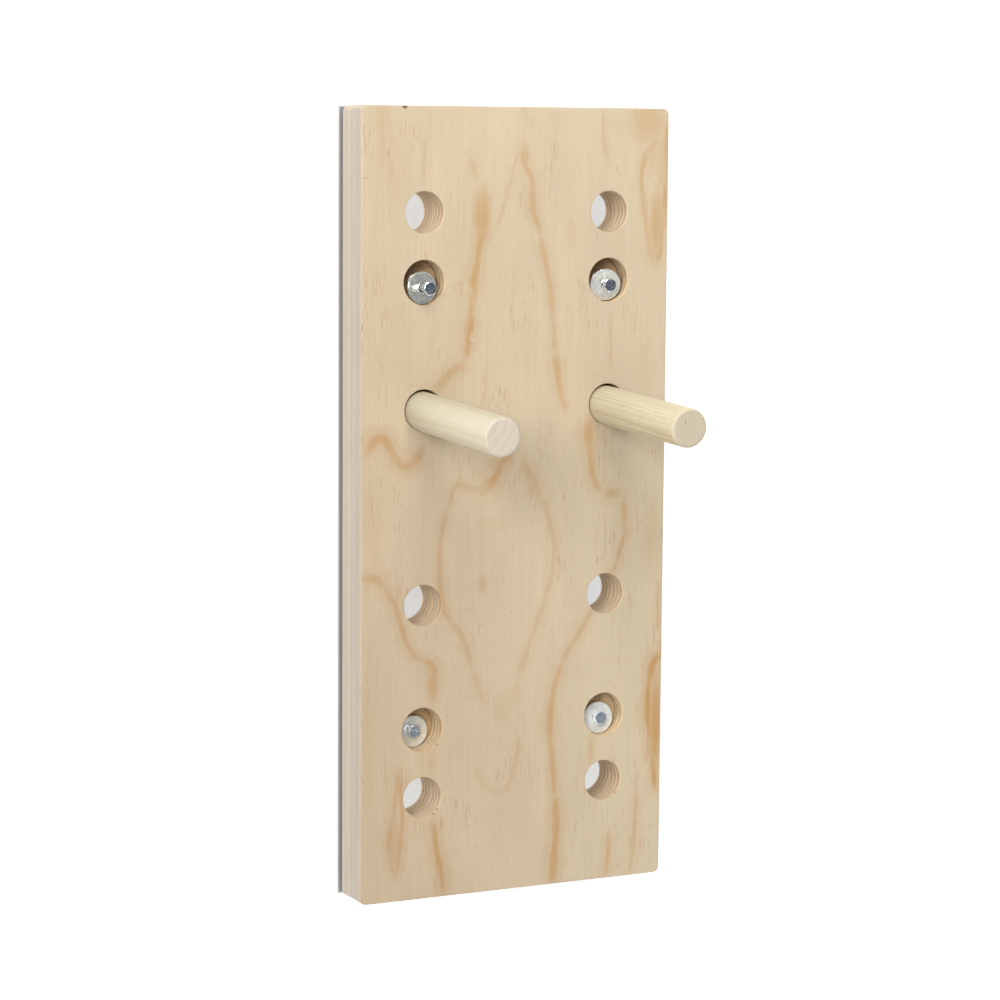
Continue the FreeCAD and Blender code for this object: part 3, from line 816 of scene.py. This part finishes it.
def screw(key, number, material):
    """A hexagon coach screw: chamfered head, plain shank, rolled thread, gimlet point."""
    head_y, turn, _, _, _ = SCREWS[key]
    up, side = key.split("_")
    x = SIDE[side] * COL_X
    z = (SCREW_Z if up == "upper" else -SCREW_Z) - SCREW_DROP
    m = 120
    rise = math.tan(math.radians(30))

    def hexagon(ang):
        a = (ang + math.radians(turn) + math.pi) % (math.pi / 3) - math.pi / 6
        flat = HEAD_AF / 2 / np.cos(a)
        corner = HEAD_AF / 2 / math.cos(math.pi / 6)
        return np.minimum(flat, corner - 0.12 + 0.0 * a)       # struck corners are a little blunt

    prof, kind = [(0.0, 0.0)], ["flat"]
    for r in (1.2, 2.4, 3.4, 4.2):
        prof.append((r, 0.0)); kind.append("flat")
    for r, zz in ((4.5, 0.0), (4.65, 0.022)):
        prof.append((r, zz)); kind.append("flat")
    for f in (0.25, 0.6, 0.88, 1.0):
        prof.append((f, 0.0)); kind.append("chamfer")
    for f in (0.12, 0.5, 0.9):
        prof.append((1.0, f)); kind.append("side")
    prof.append((1.0, 1.0)); kind.append("hem")
    prof.append((0.94, HEAD_H)); kind.append("under_hex")
    prof.append((4.2, HEAD_H)); kind.append("flat")
    prof.append((3.25, HEAD_H)); kind.append("flat")
    prof.append((2.92, HEAD_H + 0.1)); kind.append("flat")
    prof.append((SHANK_R, HEAD_H + 0.4)); kind.append("flat")
    for s in (3, 8, 14, 20, 26, 32, 38, 42.4):
        prof.append((SHANK_R, HEAD_H + s)); kind.append("flat")
    pitch, root = 2.6, 2.05
    z0, z1 = HEAD_H + SHANK_LEN - 1.0, HEAD_H + SCREW_LEN
    steps = int((z1 - z0 - 0.5) / 0.2)
    for i in range(steps + 1):
        prof.append((1.0, z0 + i * 0.2)); kind.append("thread")
    prof.append((0.0, z1 - 0.05)); kind.append("tip")

    def shape(k, r, zz, ang):
        what = kind[k]
        n = len(ang)
        h = hexagon(ang)
        if what == "flat":
            return np.full(n, r)
        if what == "chamfer":
            rr = HEAD_FLAT + (h - HEAD_FLAT) * r
            return rr, 0.022 + (rr - HEAD_FLAT) * rise * (0.99 if r == 1.0 else 1.0)
        edge = 0.022 + (h - HEAD_FLAT) * rise
        if what == "side":
            return h, edge + (HEAD_H - 0.08 - edge) * zz
        if what == "hem":
            return h - 0.02, np.full(n, HEAD_H - 0.03)
        if what == "under_hex":
            return h * 0.985, np.full(n, HEAD_H)
        # rolled thread: a crest every pitch, thinning into the shank and to the point
        at = zz - z0
        env = np.full(n, THREAD_R)
        left = z1 - zz
        if left < TIP_LEN:
            env = env * (0.4 + (THREAD_R - 0.4) * left / TIP_LEN) / THREAD_R
        start = min(at / 1.6, 1.0)
        f = (at / pitch - ang / (2 * math.pi)) % 1.0
        crest = np.clip(1 - np.abs(f - 0.5) / 0.30, 0, 1) ** 0.9
        base = env * root / THREAD_R
        shank = min(SHANK_R, env[0])
        full = base + (env - base) * crest
        return shank * (1 - start) + full * start

    verts, faces = turned(prof, m, shape)
    mat = Matrix.Translation((x * MM, head_y * MM, z * MM)) @ INTO_WALL.to_4x4()
    body = f"{key}_screw"
    return placed(f"{key}_coach_screw_turned", verts, faces, mat, body, f"{key}_coach_screw", material, 22.0)


def washer(key, material):
    _, _, wy, yaw, nod = SCREWS[key]
    up, side = key.split("_")
    t = math.acos(math.cos(math.radians(yaw)) * math.cos(math.radians(nod)))
    drop = WASHER_HOLE * math.cos(t) - WASHER_T / 2 * math.sin(t) - THREAD_R - 0.04
    x = SIDE[side] * COL_X
    z = (SCREW_Z if up == "upper" else -SCREW_Z) - SCREW_DROP - drop
    h, e = WASHER_T / 2, WASHER_EDGE
    loop = []
    for a in np.linspace(0, math.pi / 2, 6):                   # rolled outer rim, punch side
        loop.append((WASHER_R - e + e * math.sin(a), -h + e * (1 - math.cos(a))))
    for a in np.linspace(math.pi / 2, 0, 6):
        loop.append((WASHER_R - e + e * math.sin(a), h - e * (1 - math.cos(a))))
    for r in (11.0, 9.0, 7.0, 5.0):
        loop.append((r, h))
    loop += [(WASHER_HOLE + 0.16, h), (WASHER_HOLE + 0.05, h - 0.05), (WASHER_HOLE, h - 0.18),
             (WASHER_HOLE, -h + 0.16), (WASHER_HOLE + 0.05, -h + 0.05), (WASHER_HOLE + 0.16, -h)]
    for r in (5.0, 7.0, 9.0, 11.0):
        loop.append((r, -h))
    m = 144
    ang = np.arange(m) * 2 * math.pi / m
    seed = sum(map(ord, key))
    wobble = 0.012 * (1 + value_noise(ang * WASHER_R, seed, 3.0))
    verts = []
    for r, zz in loop:
        rr = r - (wobble if r > WASHER_R - 0.2 else 0)
        dish = 0.02 * (1 - abs(r - 8) / 8)
        verts.append(np.column_stack([rr * np.cos(ang), rr * np.sin(ang), np.full(m, zz * (1 - 0.0 * dish))]))
    n = len(loop)
    verts = np.concatenate(verts)
    faces = []
    for k in range(n):
        a, b = k * m, ((k + 1) % n) * m
        faces += [(a + i, a + (i + 1) % m, b + (i + 1) % m, b + i) for i in range(m)]
    rot = Matrix.Rotation(-math.radians(yaw), 4, "Z") @ Matrix.Rotation(math.radians(nod), 4, "X") @ INTO_WALL.to_4x4()
    mat = Matrix.Translation((x * MM, wy * MM, z * MM)) @ rot
    return placed(f"{key}_penny_washer_pressed", verts, faces, mat, f"{key}_washer", f"{key}_penny_washer",
                  material)


# ---- build the object -------------------------------------------------------------------

FACE = (206, 189, 160)
TINTS = {   # how each veneer looks on its long-grain faces, and on the sawn edge
    "front_sheet_face_veneer": (FACE, (222, 206, 182)),
    "front_sheet_crossband_1": ((206, 184, 152), (214, 199, 178)),
    "front_sheet_long_ply_1": ((212, 194, 166), (203, 193, 176)),
    "front_sheet_centre_ply": ((208, 188, 158), (207, 196, 178)),
    "front_sheet_long_ply_2": ((212, 195, 168), (210, 201, 185)),
    "front_sheet_crossband_2": ((204, 184, 156), (211, 201, 187)),
    "front_sheet_back_veneer": ((214, 197, 168), (213, 203, 187)),
    "rear_sheet_face_veneer": ((214, 196, 166), (209, 197, 181)),
    "rear_sheet_crossband_1": ((210, 190, 158), (224, 210, 188)),
    "rear_sheet_long_ply_1": ((216, 200, 170), (228, 216, 190)),
    "rear_sheet_centre_ply": ((206, 186, 158), (213, 197, 174)),
    "rear_sheet_long_ply_2": ((212, 195, 166), (221, 206, 185)),
    "rear_sheet_crossband_2": ((208, 188, 160), (220, 204, 187)),
    "rear_sheet_back_veneer": ((212, 193, 163), (229, 213, 197)),
}

for i, node in enumerate(NODES):
    cross = "crossband" in node or "centre" in node
    tint, edge = TINTS[node]
    # painted shade: the sawn edges are painted at 0.80 of their edge tints, as sides in shade; painted light: the back
    # veneer's bore walls are painted paler still
    mat = pine(node + "_pine", i + 1, tint, cross, i in (0, 13), tuple(c * 0.80 for c in edge), i == 0,
               pale=1.18 if i == 13 else 1.0)
    veneer(node, i, mat)

peg("left", dowel_wood("dowel_left", 3, (189, 180, 156), (34.0, -21.0), 7.0, 0.5, 0.24, None, (1.09, 1.08, 1.14)))
peg("right", dowel_wood("dowel_right", 8, (203, 193, 165), (-18.0, -12.0), 2.1, 0.66, 0.55, (-4.0, 4.6, 2.4), (0.99, 0.985, 1.01)))
# painted reflection: the screws and washers share one zinc, but each is painted its own brightness, metalness and tint,
# the lower heads lighter and bluish, to stand in for what each one reflects
for i, key in enumerate(SCREWS):
    lower = key.startswith("lower")
    screw(key, i, zinc(f"{key}_screw_zinc", i + 2, 1.05 if lower else 1.0, 0.2, 0.17 if lower else 0.13,
                       metal=0.84 if lower else 1.0, cast=(0.96, 1.0, 1.08) if lower else (1, 1, 1)))
    bright, rough, spun, metal = {"upper_left": (1.12, 0.17, 0.7, 0.9),
                                  "upper_right": (1.36, 0.15, 0.3, 0.74)}.get(key, (1.32, 0.34, 0.3, 0.55))
    washer(key, zinc(f"{key}_washer_zinc", i + 12, bright, 0.5, rough, spun, metal, (1.0, 1.0, 0.93)))


# ---- studio: white wall, pale floor, soft light -------------------------------------------

def one_sided(name, albedo, glow, rim=False, cast=(1, 1, 1)):
    """Paint that can be seen through from behind, so that the room doesn't box the board in."""
    g = Graph(name)
    q = g.vec("SCALE", g.node("ShaderNodeTexCoord").outputs["Object"], scale=1000.0)
    speck = g.noise(q, 0.4, 3.0, 0.6)
    full = tuple(albedo * k for k in cast)
    c = g.mix(speck, (*(v * 0.995 for v in full), 1), (*full, 1))
    if rim:                                   # darker paint under the board's edge, as its contact shadow
        x, _, z = g.split(q)
        d = g.math("MAXIMUM", g.add(g.math("ABSOLUTE", x), -HALF_W), g.add(g.math("ABSOLUTE", z), 1.3 - HALF_H))
        near = g.step(d, 3.6, -1.0)
        c = g.mix(near, c, (0.17, 0.17, 0.175, 1))
        glow = g.mul(g.add(g.mul(near, -0.97), 1.0), glow)
    body = g.node("ShaderNodeBsdfPrincipled", {"Base Color": c, "Roughness": 0.9, "Specular IOR Level": 0.1,
                                               "Emission Color": (*cast, 1), "Emission Strength": glow})
    clear = g.node("ShaderNodeBsdfTransparent")
    back = g.node("ShaderNodeNewGeometry").outputs["Backfacing"]
    both = g.node("ShaderNodeMixShader", {0: back, 1: body.outputs[0], 2: clear.outputs[0]})
    g.node("ShaderNodeOutputMaterial", {"Surface": both.outputs[0]})
    return g.mat


def flat_piece(name, verts, faces, material):
    me = bpy.data.meshes.new(name)
    me.from_pydata(verts, [], faces)
    me.materials.append(material)
    ob = bpy.data.objects.new(name, me)
    bpy.context.scene.collection.objects.link(ob)
    return ob


WALL_Y = 0.006
FAR_Y = 0.030            # what shows through the open holes stands a little farther back
w, h = (HALF_W - 4) * MM, (HALF_H - 4) * MM
big = 4.0
floor_z = -0.75
outer_pts = [(-big, WALL_Y, floor_z), (big, WALL_Y, floor_z), (big, WALL_Y, big), (-big, WALL_Y, big)]
inner_pts = [(-w, WALL_Y, -h), (w, WALL_Y, -h), (w, WALL_Y, h), (-w, WALL_Y, h)]
flat_piece("studio_wall", outer_pts + inner_pts,
           [(0, 1, 5, 4), (1, 2, 6, 5), (2, 3, 7, 6), (3, 0, 4, 7)], one_sided("wall_paint", 0.93, 0.34, True))
reach = 0.12
# the panel behind the board glows a little: painted light for the light that comes through the holes from behind
flat_piece("studio_wall_behind_board", [(-w - reach, FAR_Y, -h - reach), (w + reach, FAR_Y, -h - reach),
                                        (w + reach, FAR_Y, h + reach), (-w - reach, FAR_Y, h + reach)],
           [(0, 1, 2, 3)], one_sided("wall_paint_behind_board", 0.88, 0.40, cast=(0.93, 0.985, 1.06)))
deep = -1.5
flat_piece("studio_floor", [(-big, deep, floor_z), (big, deep, floor_z), (big, WALL_Y, floor_z), (-big, WALL_Y, floor_z)],
           [(0, 1, 2, 3)], one_sided("floor_paint", 0.80, 0.0))


def softbox(name, at, aim, size, power, colour=(1, 1, 1)):
    light = bpy.data.lights.new(name, "AREA")
    light.shape = "RECTANGLE"
    light.size, light.size_y = size
    light.energy = power
    light.color = colour
    ob = bpy.data.objects.new(name, light)
    ob.location = at
    ob.rotation_euler = (Vector(aim) - Vector(at)).to_track_quat("-Z", "Y").to_euler()
    bpy.context.scene.collection.objects.link(ob)
    return ob


softbox("window", (-1.65, -1.75, 0.85), (0, 0, 0.12), (1.1, 1.1), 46.5, (0.985, 0.99, 1.0))
softbox("overhead", (-0.30, -1.05, 1.45), (0, 0, 0.15), (0.9, 0.9), 20.5, (0.99, 0.99, 1.0))

world = bpy.data.worlds.new("studio")
bpy.context.scene.world = world
world.use_nodes = True
tree = world.node_tree
tree.nodes.clear()
out = tree.nodes.new("ShaderNodeOutputWorld")
bg = tree.nodes.new("ShaderNodeBackground")
tree.links.new(bg.outputs[0], out.inputs[0])
co = tree.nodes.new("ShaderNodeTexCoord")


def world_dot(direction):
    dot = tree.nodes.new("ShaderNodeVectorMath")
    dot.operation = "DOT_PRODUCT"
    tree.links.new(co.outputs["Generated"], dot.inputs[0])
    dot.inputs[1].default_value = Vector(direction).normalized()
    return dot.outputs["Value"]


def world_ramp(value, stops):
    ramp = tree.nodes.new("ShaderNodeValToRGB")
    tree.links.new(value, ramp.inputs[0])
    e = ramp.color_ramp.elements
    e[0].position, e[0].color = stops[0][0], (*stops[0][1], 1)
    e[1].position, e[1].color = stops[-1][0], (*stops[-1][1], 1)
    for at, colour in stops[1:-1]:
        e.new(at).color = (*colour, 1)
    return ramp.outputs[0]


# a bright room, brighter above and to the left, with an unlit doorway in front
half = tree.nodes.new("ShaderNodeMath")
half.operation = "MULTIPLY_ADD"
half.inputs[1].default_value = half.inputs[2].default_value = 0.5
tree.links.new(world_dot((-0.55, -0.25, 0.8)), half.inputs[0])
sky = world_ramp(half.outputs[0], [(0.0, (0.31, 0.275, 0.23)), (0.45, (0.445, 0.42, 0.39)), (1.0, (0.70, 0.70, 0.70))])
door = world_ramp(world_dot((0.44, -0.885, -0.12)), [(0.974, (1, 1, 1)), (0.987, (0.24, 0.33, 0.48)), (1.0, (0.20, 0.29, 0.44))])
both = tree.nodes.new("ShaderNodeMix")
both.data_type = "RGBA"
both.blend_type = "MULTIPLY"
both.inputs[0].default_value = 1.0
tree.links.new(sky, both.inputs[6])
tree.links.new(door, both.inputs[7])
tree.links.new(both.outputs[2], bg.inputs[0])
bg.inputs[1].default_value = 1.0

# ---- camera ---------------------------------------------------------------------------------

yaw, pitch, roll = math.radians(26.22), math.radians(6.87), math.radians(0.43)
fwd = Vector((math.sin(yaw) * math.cos(pitch), math.cos(yaw) * math.cos(pitch), -math.sin(pitch)))
right = Vector((math.cos(yaw), -math.sin(yaw), 0))
up = right.cross(fwd)
cam_x = right * math.cos(roll) + up * math.sin(roll)
cam_y = up * math.cos(roll) - right * math.sin(roll)
cam = bpy.data.objects.new("camera", bpy.data.cameras.new("camera"))
cam.matrix_world = Matrix(((cam_x.x, cam_y.x, -fwd.x, -1.0301), (cam_x.y, cam_y.y, -fwd.y, -2.0992),
                           (cam_x.z, cam_y.z, -fwd.z, 0.2806), (0, 0, 0, 1)))
cam.data.sensor_width = 36.0
cam.data.lens = 2998 * 36.0 / 1000
cam.data.dof.use_dof = False
cam.data.clip_start, cam.data.clip_end = 0.05, 50.0
bpy.context.scene.collection.objects.link(cam)
bpy.context.scene.camera = cam
bpy.context.scene.view_settings.view_transform = "Standard"
